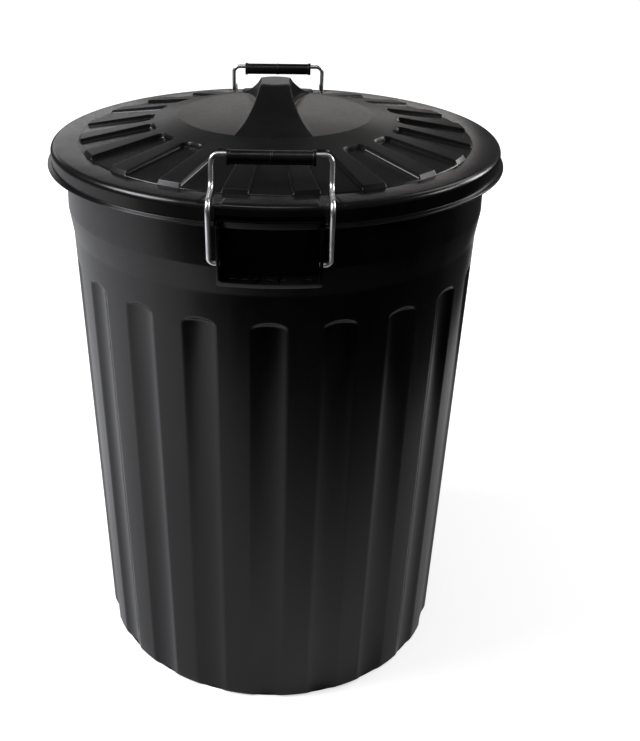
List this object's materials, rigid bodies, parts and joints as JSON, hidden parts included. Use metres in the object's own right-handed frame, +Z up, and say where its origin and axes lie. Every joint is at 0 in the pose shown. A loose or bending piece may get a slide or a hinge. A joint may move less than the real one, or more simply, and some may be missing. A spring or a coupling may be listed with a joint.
{
  "type": "garden waste bin",
  "caption": "Tall tapered plastic bin with a fluted body, a ribbed domed lift-off lid with a grip ridge, and hinged wire bails with sleeve grips that latch over the lid",
  "frame": {"origin": "centre of the base, on the ground", "axes": "+Z up, -Y to the front bail, +X to the right seen from the front"},
  "size_m": [0.52, 0.5252, 0.6925],
  "materials": {
    "moulded_plastic": "black moulded polyethylene, half gloss",
    "lid_plastic": "black moulded polyethylene, satin",
    "bright_wire": "bright zinc plated steel wire",
    "grip_plastic": "black plastic sleeve"
  },
  "bodies": {
    "tub": {"tub": "moulded_plastic"},
    "lid": {"lid": "lid_plastic"},
    "front_bail": {"front_bail": "bright_wire"},
    "rear_bail": {"rear_bail": "bright_wire"},
    "front_grip": {"front_grip": "grip_plastic"},
    "rear_grip": {"rear_grip": "grip_plastic"}
  },
  "joints": [
    {"name": "lid_lift", "type": "slide", "parent": "tub", "child": "lid", "axis": [0, 0, 1], "range_m": [0, 0.048]},
    {"name": "front_bail_swing", "type": "hinge", "parent": "tub", "child": "front_bail", "pos_m": [0, -0.2485, 0.568], "axis": [1, 0, 0], "range_deg": [0, 180]},
    {"name": "rear_bail_swing", "type": "hinge", "parent": "tub", "child": "rear_bail", "pos_m": [0, 0.2485, 0.568], "axis": [-1, 0, 0], "range_deg": [0, 180]},
    {"name": "front_grip_spin", "type": "hinge", "parent": "front_bail", "child": "front_grip", "pos_m": [0, -0.21053, 0.6629], "axis": [1, 0, 0], "continuous": true},
    {"name": "rear_grip_spin", "type": "hinge", "parent": "rear_bail", "child": "rear_grip", "pos_m": [0, 0.21053, 0.6629], "axis": [1, 0, 0], "continuous": true}
  ],
  "couplings": [
    {"joint": "front_bail_swing", "follows": "lid_lift", "rad_per_m": 65.44},
    {"joint": "rear_bail_swing", "follows": "lid_lift", "rad_per_m": 65.44}
  ]
}
